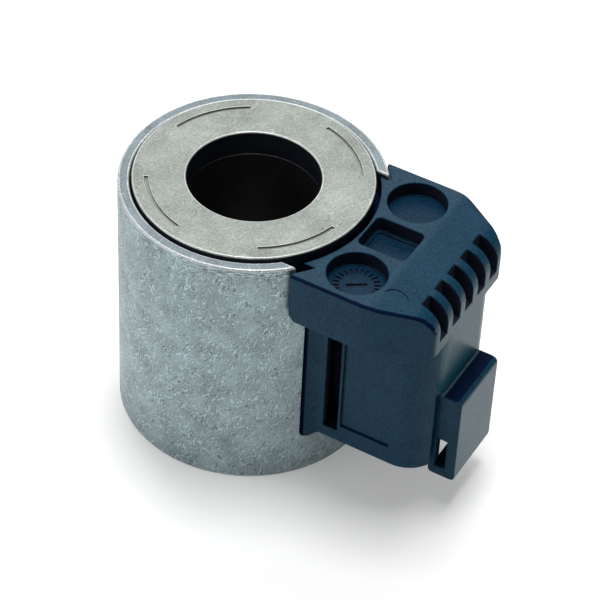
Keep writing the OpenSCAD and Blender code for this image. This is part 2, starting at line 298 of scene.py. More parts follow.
def makeScuffGroup(s):
    tree, given, made = newGroup(
        "scuffs", [("Vector", "Vector", None), ("Cells", "Float", 1.0), ("Length", "Float", 0.4),
                   ("Width", "Float", 0.05), ("Share", "Float", 0.5)], [("Mask", "Float")])
    scaled = addNode(tree, "VectorMath", {0: given["Vector"], "Scale": given["Cells"]},
                     operation="SCALE").outputs[0]
    cells = addNode(tree, "TexVoronoi", {"Vector": scaled, "Scale": 1.0}, voronoi_dimensions="2D").outputs
    away = addVector(tree, "SUBTRACT", scaled, cells["Position"])
    chance = addNode(tree, "SeparateColor", {"Color": cells["Color"]}).outputs
    turn = addMath(tree, "MULTIPLY", chance[0], s["fullTurn"])
    turned = addNode(tree, "VectorRotate", {"Vector": away, "Angle": turn}, rotation_type="Z_AXIS").outputs[0]
    across = addNode(tree, "SeparateXYZ", {0: turned}).outputs
    reach = addMath(tree, "MULTIPLY", given["Length"], addRange(tree, chance[2], 0, 1, *s["lengths"]))
    far = addMath(tree, "DIVIDE", across[0], reach)
    wide = addMath(tree, "DIVIDE", across[1], given["Width"])
    spread = addScaled(tree, addMath(tree, "MULTIPLY", far, far), wide, wide)
    shape = addRange(tree, spread, 1.0, 0.0)
    kept = addMath(tree, "LESS_THAN", chance[1], given["Share"])
    feed(tree, made["Mask"], addMath(tree, "MULTIPLY", shape, kept))
    return tree


# Metal knocked about in a tumbling drum: flecks, pits and scratches, each with a painted lit side and a painted
# shaded side
beatenSizes = dict(stretch=(1.15, 0.75, 1.0), patches=0.3, thickness=(0.35, 0.65, 0.45, 1.15),
                   litShift=(0.0, 0.0, 0.0), shadedShift=(0.09, -0.07, 0.0), blobs=1.5, distortion=1.4,
                   flecks=(0.575, 0.70), pits=(0.405, 0.29), pitShare=0.7, lineShare=0.8)
scratchSizes = {"Cells": 0.6, "Length": 0.45, "Width": 0.08, "Share": 0.45}


def makeBeatenGroup(s, scuffs):
    tree, given, made = newGroup("beaten", [("Vector", "Vector", None)], [("PaintedEmboss", "Float"), ("Marks", "Float")])
    stretched = addVector(tree, "MULTIPLY", given["Vector"], s["stretch"])
    patches = addNode(tree, "TexNoise", {"Vector": given["Vector"], "Scale": s["patches"],
                                         "Detail": 2.0}).outputs["Fac"]
    thick = addRange(tree, patches, *s["thickness"])  # the flecks lie thicker in some places
    heights = []
    for shift in (s["litShift"], s["shadedShift"]):
        place = addVector(tree, "ADD", stretched, shift)
        blobs = addNode(tree, "TexNoise", {"Vector": place, "Scale": s["blobs"], "Detail": 2.0, "Roughness": 0.5,
                                           "Distortion": s["distortion"]}).outputs["Fac"]
        flecks = addRange(tree, blobs, *s["flecks"])
        pits = addRange(tree, blobs, *s["pits"])
        lines = placeGroup(tree, scuffs, {"Vector": place, **scratchSizes})["Mask"]
        raised = addScaled(tree, flecks, lines, s["lineShare"])
        level = addMath(tree, "SUBTRACT", raised, addMath(tree, "MULTIPLY", pits, s["pitShare"]))
        heights.append(addMath(tree, "MULTIPLY", level, thick))
    feed(tree, made["PaintedEmboss"], addMath(tree, "SUBTRACT", heights[0], heights[1]))
    feed(tree, made["Marks"], heights[0])
    return tree


# Fine moulded or blasted grain, and slow clouds of tone; both swing about zero
grainSizes = dict(pitch=0.5, clouds=0.22, middle=0.5)


def makeGrainGroup(s):
    tree, given, made = newGroup("grain", [("Vector", "Vector", None), ("Size", "Float", 0.1)],
                                 [("Height", "Float"), ("Cloud", "Float")])
    pitch = addMath(tree, "DIVIDE", s["pitch"], given["Size"])
    for label, scale, detail, roughness in (("Height", pitch, 3.0, 0.6), ("Cloud", s["clouds"], 4.0, 0.55)):
        noise = addNode(tree, "TexNoise", {"Vector": given["Vector"], "Scale": scale, "Detail": detail,
                                           "Roughness": roughness}).outputs["Fac"]
        feed(tree, made[label], addMath(tree, "SUBTRACT", noise, s["middle"]))
    return tree


scuffGroup = makeScuffGroup(scuffSizes)
beatenGroup = makeBeatenGroup(beatenSizes, scuffGroup)
grainGroup = makeGrainGroup(grainSizes)


def millimetres(tree):  # object coordinates in millimetres
    place = addNode(tree, "TexCoord").outputs["Object"]
    return addNode(tree, "VectorMath", {0: place, "Scale": 1 / toMetres}, operation="SCALE").outputs[0]


def unrolled(tree, radius):  # the tube's skin laid flat: distance round it, and height less distance from the axis
    x, y, z = addNode(tree, "SeparateXYZ", {0: millimetres(tree)}).outputs
    around = addMath(tree, "MULTIPLY", addMath(tree, "ARCTAN2", y, x), radius)
    out = addMath(tree, "SQRT", addScaled(tree, addMath(tree, "MULTIPLY", x, x), y, y))
    return addNode(tree, "CombineXYZ", {0: around, 1: addMath(tree, "SUBTRACT", z, out)}).outputs[0]


def shade(colour, factor):
    return [c * factor for c in colour] + [1]


def finishSurface(tree, shader, looks, s, tone, height):  # colour and roughness follow a tone from 0 to 1
    colour = addMix(tree, tone, shade(looks["tone"], s["dark"]), shade(looks["tone"], s["light"]))
    feed(tree, shader.inputs["Base Color"], colour)
    rough = addRange(tree, tone, 0.0, 1.0, looks["rough"] + s["spread"], looks["rough"] - s["spread"])
    feed(tree, shader.inputs["Roughness"], rough)
    bump = addNode(tree, "Bump", {"Strength": looks["relief"], "Distance": s["bump"], "Height": height})
    feed(tree, shader.inputs["Normal"], bump.outputs["Normal"])


# Plated steels: tone is the middle colour, beating, grain and clouds say how strongly it varies; the edge looks add
# painted highlight, the side and arc looks painted shade
tubeLooks = dict(tone=(0.27, 0.34, 0.355), metal=0.8, beating=1.0, grain=0.6, clouds=0.9, rough=0.46, relief=0.3,
                 band=37.85)
rimLooks = dict(tone=(0.15, 0.18, 0.195), metal=0.9, beating=0.4, grain=0.8, clouds=0.7, rough=0.44, relief=0.2)
# edges worn bright, made lighter still as a painted highlight
tubeEdgeWearAndHighlightLooks = dict(tone=(0.56, 0.60, 0.61), metal=0.35, beating=0.4, grain=1.0, clouds=0.5,
                     rough=0.4, relief=0.2)
plateLooks = dict(tone=(0.212, 0.232, 0.214), metal=0.9, beating=0.3, grain=0.9, clouds=0.7,
                  rough=0.46, relief=0.2)
# plate edges worn bright, made lighter still as a painted highlight
plateEdgeWearAndHighlightLooks = dict(tone=(0.60, 0.63, 0.60), metal=0.35, beating=0.2, grain=0.6, clouds=0.4,
                      rough=0.4, relief=0.1)
# painted shade: the struck arcs are a little darker and duller than the face
plateArcShadeLooks = dict(tone=(0.2, 0.215, 0.195), metal=0.6, beating=0.2, grain=0.6, clouds=0.4,
                     rough=0.5, relief=0.1)
# painted shade: near-black steel for the plate's outer side and bore wall
plateSideShadeLooks = dict(tone=(0.02, 0.026, 0.045), metal=0.6, beating=0.1, grain=0.5, clouds=0.4,
                      rough=0.5, relief=0.1)
steelSizes = dict(skin=18.25, grain=0.16, middle=0.5, lit=0.55, marked=0.75, dark=0.45, light=1.55, spread=0.08,
                  fine=0.6, bump=0.00006)
bandSizes = dict(stretch=(0.8, 5.0, 1.0), detail=1.5, dashes=(0.38, 0.66, -0.5, 0.6), fade=(0.62, 0.3))


def addBand(tree, s, surface, height):  # broken lines round the tube, just below the rim
    away = addMath(tree, "SUBTRACT", addNode(tree, "SeparateXYZ", {0: surface}).outputs[1], height)
    drawn = addVector(tree, "MULTIPLY", surface, s["stretch"])
    noise = addNode(tree, "TexNoise", {"Vector": drawn, "Scale": 1.0, "Detail": s["detail"]}).outputs["Fac"]
    fade = addRange(tree, addMath(tree, "ABSOLUTE", away), *s["fade"])
    return addMath(tree, "MULTIPLY", addRange(tree, noise, *s["dashes"]), fade)


def makeSteel(name, looks, flat):
    s = steelSizes
    material, tree, shader = newMaterial(name)
    surface = millimetres(tree) if flat else unrolled(tree, s["skin"])
    grain = placeGroup(tree, grainGroup, {"Vector": surface, "Size": s["grain"]})
    beaten = placeGroup(tree, beatenGroup, {"Vector": surface})
    tone = addScaled(tree, s["middle"], grain["Cloud"], looks["clouds"])
    tone = addScaled(tree, tone, grain["Height"], looks["grain"])
    # painted highlight and shade: each mark is lighter on one side and darker on the other
    tone = addScaled(tree, tone, beaten["PaintedEmboss"], looks["beating"] * s["lit"])
    tone = addScaled(tree, tone, beaten["Marks"], looks["beating"] * s["marked"])
    if "band" in looks:
        tone = addMath(tree, "ADD", tone, addBand(tree, bandSizes, surface, looks["band"] - s["skin"]))
    finishSurface(tree, shader, looks, s, tone, addScaled(tree, beaten["Marks"], grain["Height"], s["fine"]))
    shader.inputs["Metallic"].default_value = looks["metal"]
    return material


tubeSteel = makeSteel("tubeSteel", tubeLooks, flat=False)
rimSteel = makeSteel("rimSteel", rimLooks, flat=False)
tubeEdgeWearAndHighlightSteel = makeSteel("tubeEdgeWearAndHighlightSteel", tubeEdgeWearAndHighlightLooks, flat=False)
plateSteel = makeSteel("plateSteel", plateLooks, flat=True)
plateEdgeWearAndHighlightSteel = makeSteel("plateEdgeWearAndHighlightSteel", plateEdgeWearAndHighlightLooks, flat=True)
plateArcShadeSteel = makeSteel("plateArcShadeSteel", plateArcShadeLooks, flat=True)
plateSideShadeSteel = makeSteel("plateSideShadeSteel", plateSideShadeLooks, flat=False)


# Moulded plastics, and darker, lighter and glossier copies that are painted shade, sheen and highlight
housingLooks = dict(tone=(0.009, 0.046, 0.084), rough=0.31, gloss=0.09, grain=0.16, relief=0.35)
# painted sheen: lighter, glossier plastic for the faces at the outer end
housingEndSheenLooks = dict(tone=(0.006, 0.065, 0.095), rough=0.31, gloss=0.18, grain=0.16, relief=0.35)
shadedLooks = dict(tone=(0.003, 0.026, 0.058), rough=0.4, gloss=0.07, grain=0.16, relief=0.35)
# painted highlight: a light line where the latch cage meets the wall
lipHighlightLooks = dict(tone=(0.12, 0.19, 0.23), rough=0.45, gloss=0.2, grain=0.16, relief=0.3)
# painted shade: near-black plastic for the slab's rounded rim, the room round the plate, the neck's sides and the
# latch cage's top
paintedShadeLooks = dict(tone=(0.003, 0.010, 0.036), rough=0.6, gloss=0.02, grain=0.16, relief=0.3)
# painted shade: dark plastic for the walls of recesses, grip slots and side pockets
recessShadeLooks = dict(tone=(0.016, 0.02, 0.036), rough=0.55, gloss=0.06, grain=0.16, relief=0.3)
bobbinLooks = dict(tone=(0.018, 0.018, 0.02), rough=0.5, gloss=0.3, grain=0.2, relief=0.4)
plasticSizes = dict(middle=0.5, clouds=0.4, grain=1.5, dark=0.35, light=1.65, spread=0.08, bump=0.00005)


def makePlastic(name, looks):
    s = plasticSizes
    material, tree, shader = newMaterial(name)
    grain = placeGroup(tree, grainGroup, {"Vector": millimetres(tree), "Size": looks["grain"]})
    tone = addScaled(tree, addMath(tree, "MULTIPLY", grain["Cloud"], s["clouds"]), grain["Height"], s["grain"])
    finishSurface(tree, shader, looks, s, addMath(tree, "ADD", tone, s["middle"]), grain["Height"])
    shader.inputs["Specular IOR Level"].default_value = looks["gloss"]
    return material


housingPlastic = makePlastic("housingPlastic", housingLooks)
housingEndSheenPlastic = makePlastic("housingEndSheenPlastic", housingEndSheenLooks)
paintedShadePlastic = makePlastic("paintedShadePlastic", paintedShadeLooks)
shadedPlastic = makePlastic("shadedPlastic", shadedLooks)
lipHighlightPlastic = makePlastic("lipHighlightPlastic", lipHighlightLooks)
recessShadePlastic = makePlastic("recessShadePlastic", recessShadeLooks)
bobbinPlastic = makePlastic("bobbinPlastic", bobbinLooks)
print("materials made")


# Yoke tube: steel tube with a window that the moulding leaves through
tubeSizes = dict(outer=18.25, inner=16.65, height=38.8, windowHalf=10.7, windowFloor=6.5, floorCorner=1.2,
                 windowBack=10.35, endLow=34.0, frontEnd=12.05, sides=72, turn=1.4, rimEnd=0.32, edge=0.3,
                 rimBand=1.0, brightSide=2.0, brightAbove=4.0, dullSide=0.5)


def makeTube(s):
    outer, top, half, floor = s["outer"], s["height"], s["windowHalf"], s["windowFloor"]
    bpy.ops.object.select_all(action="DESELECT")
    bpy.ops.mesh.primitive_cylinder_add(
        vertices=s["sides"], radius=outer, depth=top, end_fill_type="NOTHING",
        location=(0, 0, top / 2), rotation=(0, 0, math.radians(s["turn"])))
    tube = bpy.context.object
    tube.name = "yokeTube"
    applyPlace(tube)
    bpy.ops.object.modifier_add(type="SOLIDIFY")
    wall = tube.modifiers[-1]
    wall.thickness = outer - s["inner"]
    wall.offset = -1
    wall.use_even_offset = True
    bpy.ops.object.modifier_apply(modifier=wall.name)
    cutOut, cutTop = outer + 2 * over, top + 2 * over
    window = addBlock("window", (0, -half, floor), (cutOut, s["windowBack"], cutTop))
    roundEdges(window, lambda e: isAlongX(e) and ends(e)[0].z < floor + hair, s["floorCorner"])
    # the rim's front end stops a little short of the window's side
    rimGap = addBlock("rimGap", (0, -s["frontEnd"], s["endLow"]), (cutOut, 0, cutTop))
    combine(tube, "DIFFERENCE", window, rimGap)
    dress(tube, tubeSteel, tubeEdgeWearAndHighlightSteel, rimSteel)
    inWindow = lambda c, side: c.x > 0 and abs(c.y) < half + side
    isRimEnd = lambda e: isAlongX(e) and ends(e)[0].z > top - hair
    paintFaces(tube, rimSteel, lambda c, n: n.z > facing and c.z > top - s["rimBand"])
    # the rim's ends get a painted highlight, and the window's sides and edges below them stay dull
    paintFaces(tube, tubeEdgeWearAndHighlightSteel, lambda c, n: (
        abs(n.y) > straight and inWindow(c, s["brightSide"]) and c.z > floor + s["brightAbove"]))
    # the rounded edges are worn bright and lighter still as a painted highlight
    softenEdges(tube, s["rimEnd"], tubeEdgeWearAndHighlightSteel, lambda e: 1.0 if isRimEnd(e) else s["edge"] / s["rimEnd"])
    paintFaces(tube, tubeSteel, lambda c, n: inWindow(c, s["dullSide"]) and c.z < s["endLow"])
    return tube


finishPiece(makeTube(tubeSizes), "yoke_tube")


# Upper pole plate: stamped steel ring with four arcs struck into its face
plateSizes = dict(outer=16.35, bore=9.1, low=35.3, high=39.3, sides=192, arcRadius=14.4, arcWidth=0.56,
                  arcDepth=0.26, arcSpan=44.5, arcTurn=55, arcs=4, edge=0.2, arcEdge=0.3, margin=1.0, upright=0.3)


def makePlate(s):
    plate = addRod("upperPlate", s["outer"], s["low"], s["high"], sides=s["sides"])
    pick(plate, "FACE", lambda f: abs(f.normal.z) > facing)
    bpy.ops.mesh.inset(thickness=s["outer"] - s["bore"])
    bpy.ops.mesh.bridge_edge_loops()
    bpy.ops.object.mode_set(mode="OBJECT")
    for i in range(s["arcs"]):
        arc = addArc("arc", s["arcRadius"], s["arcWidth"], 2 * s["arcDepth"], s["arcSpan"])
        turn = s["arcTurn"] - s["arcSpan"] / 2 + i * 360 / s["arcs"]
        combine(plate, "DIFFERENCE", moveTo(arc, (0, 0, s["high"]), (0, 0, turn)))
    dress(plate, plateSteel, plateEdgeWearAndHighlightSteel, plateSideShadeSteel, plateArcShadeSteel)
    face = s["high"] - slack
    inRing = lambda c: s["bore"] + s["margin"] < c.xy.length < s["outer"] - s["margin"]
    # painted shade on the plate's outer side and bore wall
    paintFaces(plate, plateSideShadeSteel, lambda c, n: abs(n.z) < s["upright"] and not inRing(c))
    # painted shade in the struck arcs
    paintFaces(plate, plateArcShadeSteel, lambda c, n: inRing(c) and s["low"] + s["margin"] < c.z < face)

    def weigh(edge):  # fine round on the arcs, none at their floor
        a, b = ends(edge)
        if not inRing((a + b) / 2):
            return 1.0
        return s["arcEdge"] if min(a.z, b.z) > face else 0.0

    # the rounded edges are worn bright and lighter still as a painted highlight
    softenEdges(plate, s["edge"], plateEdgeWearAndHighlightSteel, weigh)
    return plate


finishPiece(makePlate(plateSizes), "upper_pole_plate")


# Connector housing: one dark moulding, built as slab, neck, shroud and latch cage
slabSizes = dict(half=13.35, endHalf=9.4, low=30.3, high=38.2, outer=33.0, taper=7.8, slope=8.0, fall=1.5,
                 slopeRound=4.0, nose=3.5, shoulder=7.0, corner=1.2, cut=0.8, tip=13.4, tipSide=1.0, tubeGap=18.5,
                 bendSteps=8, noseSteps=10, roomSides=144)
gripSizes = dict(count=5, pitch=3.5, width=2.05, length=3.1, floor=32.1)
recessSizes = dict(radius=4.05, depth=2.15, x=20.5, y=8.2, sides=96, trayX=21.0, trayLength=7.1, trayWidth=6.1,
                   trayCorner=0.8, trayBorder=0.45, cornerLoss=0.8, step=0.4)
markSizes = dict(ticks=24, inner=2.3, length=0.9, width=0.32, depth=0.22, bar=2.8, barWidth=0.6, barTurn=35,
                 arcX=26.9, arcY=-9.68, arcRadius=1.74, arcWidth=0.2, arcDepth=0.3, arcFrom=39, arcSpan=131)
neckSizes = dict(half=10.25, low=6.65, reach=15.8, bend=0.8, fillet=1.05, lap=0.5, stepIn=15.5, stepOut=16.7,
                 sleeveOut=16.5, sleeveIn=15.05, sleeveLow=4.0, sleeveHigh=35.3, sleeveSides=144, plateRoom=17.05)
shroudSizes = dict(half=9.2, low=7.35, corner=5.0, cornerSteps=12, cavityIn=21.6, cavityOut=31.4, cavityHalf=7.7,
                   cavityTop=26.0, cavityCorner=3.4, cavitySteps=10)
sideSizes = dict(pocketIn=17.35, pocketOut=19.5, pocketLow=9.2, pocketHigh=29.5, pocketDepth=4.6, lip=1.1,
                 under=16.4, underEdge=0.4, lineIn=19.95, lineOut=20.4, grooveOut=27.5, grooveLow=10.35,
                 grooveHigh=10.95, depth=0.45)
latchSizes = dict(inner=31.85, outer=35.9, half=5.35, low=4.9, high=19.85, top=0.8, bottom=0.6, bottomSteps=5,
                  channel=0.9, channelIn=31.95, channelRise=0.5, slotIn=32.75, slotOut=34.35, slotLow=6.5,
                  slotHigh=11.75, notchHalf=4.0, notchIn=30.9, notchLow=5.2)
edgeSizes = dict(slabRim=0.35, latchSide=0.25, latchFoot=0.3, other=0.15, rimAbove=2.0, rimBand=0.7, plateBand=1.0,
                 endBand=1.5, wallBand=0.2, sideways=0.25)
shadowSizes = dict(above=1.0, back=1.0, markGap=0.5, below=0.2, wall=0.95, steep=0.5)


def slabSections(s):  # distance out, half width and top of each cross section of the slab
    narrow = s["half"] - s["endHalf"]
    bend = math.atan2(narrow, s["taper"])
    lean = math.atan2(s["fall"], s["slope"])
    start = s["outer"] - s["slope"]
    reach = s["slopeRound"] * math.tan(lean / 2)
    cornerIn = s["outer"] - s["corner"]
    cornerHalf = s["endHalf"] - s["corner"] * math.tan((math.pi / 2 - bend) / 2)
    noseLow = s["high"] - s["fall"] - s["nose"] * math.tan((math.pi / 2 - lean) / 2)
    sections = []
    first = s["outer"] - s["taper"] - s["shoulder"] * math.tan(bend / 2)
    for i in range(s["bendSteps"] + 1):  # round of the shoulder and of the slope's start
        turn = bend * i / s["bendSteps"]
        x = first + s["shoulder"] * math.sin(turn)
        top = s["high"]
        if x > start + reach * math.cos(lean):
            top -= (x - start) * math.tan(lean)
        elif x > start - reach:
            top -= s["slopeRound"] - math.sqrt(s["slopeRound"] ** 2 - (x - start + reach) ** 2)
        sections.append((x, s["half"] - s["shoulder"] * (1 - math.cos(turn)), top))
    for i in range(s["noseSteps"] + 1):  # nose, and the outer corners
        turn = lean + (math.pi / 2 - lean) * i / s["noseSteps"]
        x = s["outer"] - s["nose"] * (1 - math.sin(turn))
        half = s["endHalf"] + (s["outer"] - x) * narrow / s["taper"]
        if x > cornerIn + s["corner"] * math.sin(bend):
            half = cornerHalf + math.sqrt(max(0.0, s["corner"] ** 2 - (x - cornerIn) ** 2))
        sections.append((x, half, noseLow + s["nose"] * math.cos(turn)))
    return sections


def makeSlab(s, neck):
    low, high = s["low"], s["high"]
    sections = slabSections(s)
    slab = addBlock("slab", (0, -s["half"], low), (sections[0][0], s["half"], high))
    steps = [((far[0] - near[0], 0, 0), (1, far[1] / near[1], (far[2] - low) / (near[2] - low)))
             for near, far in zip(sections, sections[1:])]
    drawOut(slab, lambda f: f.normal.x > facing, steps, low)
    trim(slab, (s["tip"] + s["cut"], 0, low), (-1, 0, -1))
    room = addRod("tubeRoom", s["tubeGap"], low - over, high + over, sides=s["roomSides"])
    combine(room, "DIFFERENCE", addBlock("neckRoom", (0, -neck["half"], low - 2 * over),
                                         (s["tubeGap"] + over, neck["half"], high + 2 * over)))
    combine(slab, "DIFFERENCE", room)
    for side in (-1, 1):  # blunt ends beside the tube
        near, far = sorted((side * (neck["half"] + s["tipSide"]), side * (s["half"] + over)))
        combine(slab, "DIFFERENCE", addBlock("tipRoom", (-over, near, low - over), (s["tip"], far, high + over)))
    return slab


def makeNeck(s, slab, shroud, latch):  # neck and shroud drawn out of one block
    neck = addBlock("neck", (0, -s["half"], s["low"]), (s["reach"] - s["bend"], s["half"], slab["low"] + s["lap"]))
    drawOut(neck, lambda f: f.normal.x > facing, [
        ((s["bend"], 0, 0), (1, shroud["half"] / s["half"], 1)), ((slab["outer"] - s["reach"], 0, 0), (1, 1, 1))])
    roundEdges(neck, lambda e: isUpright(e) and abs(ends(e)[0].x - s["reach"]) < slack, s["fillet"])
    roundEdges(neck, lambda e: isUpright(e) and ends(e)[0].x > slab["outer"] - 2 * slack,
               shroud["corner"], shroud["cornerSteps"])
    cutOut = slab["outer"] + over
    step = addBlock("step", (s["stepIn"] - over, -s["half"] - over, s["low"] - over),
                    (cutOut, s["half"] + over, shroud["low"]))
    trim(step, (s["stepIn"], 0, s["low"]), (s["low"] - shroud["low"], 0, s["stepOut"] - s["stepIn"]))
    combine(neck, "DIFFERENCE", step)
    for side in (-1, 1):  # channel beside the latch cage
        near, far = sorted((side * latch["half"], side * (latch["half"] + latch["channel"])))
        combine(neck, "DIFFERENCE", addBlock("channel", (latch["channelIn"], near, s["low"] - over),
                                             (cutOut, far, latch["high"] + latch["channelRise"])))
    sleeve = addRod("sleeve", s["sleeveOut"], s["sleeveLow"], s["sleeveHigh"], sides=s["sleeveSides"])
    combine(neck, "UNION", sleeve)
    return neck


def makeCavity(s):
    cavity = addBlock("cavity", (s["cavityIn"], -s["cavityHalf"], s["low"] - over),
                      (s["cavityOut"], s["cavityHalf"], s["cavityTop"]))
    roundEdges(cavity, isUpright, s["cavityCorner"], s["cavitySteps"])
    return cavity


def makeLatch(s):
    latch = addBlock("latch", (s["inner"], -s["half"], s["low"]), (s["outer"], s["half"], s["high"]))
    isOuter = lambda e: ends(e)[0].x > s["outer"] - 2 * slack
    roundEdges(latch, lambda e: isAlongY(e) and isOuter(e) and ends(e)[0].z > s["high"] - 2 * slack, s["top"])
    roundEdges(latch, lambda e: isAlongY(e) and ends(e)[0].z < s["low"] + 2 * slack, s["bottom"], s["bottomSteps"])
    return latch


def makeLatchSlot(s):
    slot = addBlock("latchSlot", (s["slotIn"], -s["half"] - over, s["slotLow"]),
                    (s["slotOut"], s["half"] + over, s["slotHigh"]))
    combine(slot, "UNION", addBlock("latchNotch", (s["notchIn"], -s["notchHalf"], s["notchLow"]),
                                    (s["slotOut"], s["notchHalf"], s["slotHigh"])))
    return slot


def cutSides(housing, s, shroud):
    for side in (-1, 1):
        face = side * shroud["half"]

        def cutter(name, inner, outer, low, high, deep, shallow=-over):
            near, far = sorted((face - side * deep, face - side * shallow))
            return addBlock(name, (inner, near, low), (outer, far, high))

        pocket = cutter("pocket", s["pocketIn"], s["pocketOut"], s["pocketLow"], s["pocketHigh"], s["pocketDepth"])
        edge = s["underEdge"]
        under = cutter("under", s["under"], s["pocketOut"] - edge, s["pocketLow"] + edge, s["pocketHigh"] - edge,
                       s["pocketDepth"] - edge, s["lip"])
        combine(pocket, "UNION", under)
        groove = cutter("groove", s["lineIn"], s["grooveOut"], s["grooveLow"], s["grooveHigh"], s["depth"])
        line = cutter("line", s["lineIn"], s["lineOut"], s["grooveLow"], s["pocketHigh"], s["depth"])
        combine(groove, "UNION", line)
        combine(housing, "DIFFERENCE", pocket, groove)


def cutSlab(housing, grip, recess, slab):
    top = slab["high"]
    cutTop = top + 2 * over
    for i in range(grip["count"]):
        y = (i - (grip["count"] - 1) / 2) * grip["pitch"]
        slot = addBlock("gripSlot", (slab["outer"] - grip["length"], y - grip["width"] / 2, grip["floor"]),
                        (slab["outer"] + 2 * over, y + grip["width"] / 2, cutTop))
        combine(housing, "DIFFERENCE", slot)
    floor = top - recess["depth"]
    for side in (-1, 1):
        combine(housing, "DIFFERENCE", addRod("recess", recess["radius"], floor, cutTop, recess["x"],
                                              side * recess["y"], recess["sides"]))
    for inset, bottom in ((0, floor), (recess["trayBorder"], floor - recess["step"])):
        long, wide = recess["trayLength"] / 2 - inset, recess["trayWidth"] / 2 - inset
        tray = addBlock("tray", (recess["trayX"] - long, -wide, bottom), (recess["trayX"] + long, wide, cutTop))
        roundEdges(tray, isUpright, recess["trayCorner"] - inset * recess["cornerLoss"])
        combine(housing, "DIFFERENCE", tray)


def markSlab(housing, s, recess, slab):
    centre = (recess["x"], -recess["y"], slab["high"] - recess["depth"])
    for i in range(s["ticks"]):  # dial of the mould insert
        tick = addBlock("tick", (s["inner"], -s["width"] / 2, -s["depth"]),
                        (s["inner"] + s["length"], s["width"] / 2, over))
        combine(housing, "DIFFERENCE", moveTo(tick, centre, (0, 0, i * 360 / s["ticks"])))
    bar = addBlock("bar", (-s["bar"] / 2, -s["barWidth"] / 2, -s["depth"]), (s["bar"] / 2, s["barWidth"] / 2, over))
    combine(housing, "DIFFERENCE", moveTo(bar, centre, (0, 0, s["barTurn"])))
    lean = math.atan2(slab["fall"], slab["slope"])
    height = slab["high"] - (s["arcX"] - slab["outer"] + slab["slope"]) * math.tan(lean)
    arc = addArc("witness", s["arcRadius"], s["arcWidth"], s["arcDepth"], s["arcSpan"])
    arc = moveTo(arc, (0, 0, 0), (0, 0, s["arcFrom"]))
    combine(housing, "DIFFERENCE", moveTo(arc, (s["arcX"], s["arcY"], height), (0, math.degrees(lean), 0)))


def onSlabRim(place):
    s, slab = edgeSizes, slabSizes
    narrow = slab["half"] - slab["endHalf"]
    narrowed = max(0, place.x - slab["outer"] + slab["taper"]) / slab["taper"] * narrow
    return place.z > slab["low"] + s["rimAbove"] and abs(place.y) > slab["half"] - narrowed - s["rimBand"]


def weighHousing(edge):  # wider rounds on the slab's rim and the latch cage, none inside the tube or the cage
    s, slab, latch = edgeSizes, slabSizes, latchSizes
    middle = (edge.verts[0].co + edge.verts[1].co) / 2
    inTube = middle.xy.length < neckSizes["plateRoom"] + 2 * slack and middle.z < slab["high"] - s["plateBand"]
    inCage = (latch["notchIn"] - 2 * slack < middle.x < latch["slotOut"] + 2 * slack
              and middle.z < latch["slotHigh"] + 2 * slack and abs(middle.y) < latch["half"] - 2 * slack)
    atSlabEnd = abs(middle.z - slab["low"]) < slack and middle.x > slab["outer"] - s["endBand"]
    if inTube or inCage or atSlabEnd:
        return 0.0
    normals = [f.normal for f in edge.link_faces]
    fromSide = any(abs(n.z) < slack and abs(n.y) > s["sideways"] for n in normals)
    fromTop = any(n.z > slack and abs(n.y) < slack for n in normals)
    width = s["other"]
    if fromSide and fromTop and onSlabRim(middle):
        width = s["slabRim"]
    elif middle.x > latch["slotOut"] + s["wallBand"] and abs(abs(middle.y) - latch["half"]) < slack:
        width = s["latchSide"]
    elif (abs(middle.z - latch["high"]) < slack and middle.x < slab["outer"] + slack
          and abs(middle.y) < latch["half"] - slack):
        width = s["latchFoot"]
    return width / s["slabRim"]


def inRecess(c):  # within the outline of a round recess or of the tray
    s = recessSizes
    inTray = abs(c.x - s["trayX"]) < s["trayLength"] / 2 + slack and abs(c.y) < s["trayWidth"] / 2 + slack
    return inTray or math.hypot(c.x - s["x"], abs(c.y) - s["y"]) < s["radius"] + slack


def isShadow(c, n):  # walls of the slab's recesses and grip slots, marks, and the inside of the side pockets
    s, slab, recess, grip, side = shadowSizes, slabSizes, recessSizes, gripSizes, sideSizes
    if c.z > slab["low"] + s["above"]:
        gripHalf = grip["pitch"] * (grip["count"] - 1) / 2 + grip["width"] / 2
        if c.x > slab["outer"] - grip["length"] - slack and abs(c.y) < gripHalf + slack:
            onBack = n.x > s["wall"] and c.x < slab["outer"] - s["back"]
            onFloor = n.z > s["wall"] and c.z < grip["floor"] + 2 * slack
            return abs(n.y) > s["wall"] or onBack or onFloor
        inMark = abs(c.y) > recess["trayWidth"] / 2 + s["markGap"] and c.z < slab["high"] - recess["depth"] - slack
        return inRecess(c) and c.z < slab["high"] - s["below"] and (abs(n.z) < s["steep"] or inMark)
    inPocket = (side["under"] - slack < c.x < side["pocketOut"] + slack
                and side["pocketLow"] - slack < c.z < side["pocketHigh"] + slack)
    return inPocket and abs(c.y) < shroudSizes["half"] - s["below"]


# Where the housing's painted shade, painted sheen and painted highlights lie, all from faces found by place and
# direction
paintSizes = dict(sideways=0.1, outerEnd=0.3, latchTop=0.35, lipOut=0.4, lipRange=(0.1, 0.9))


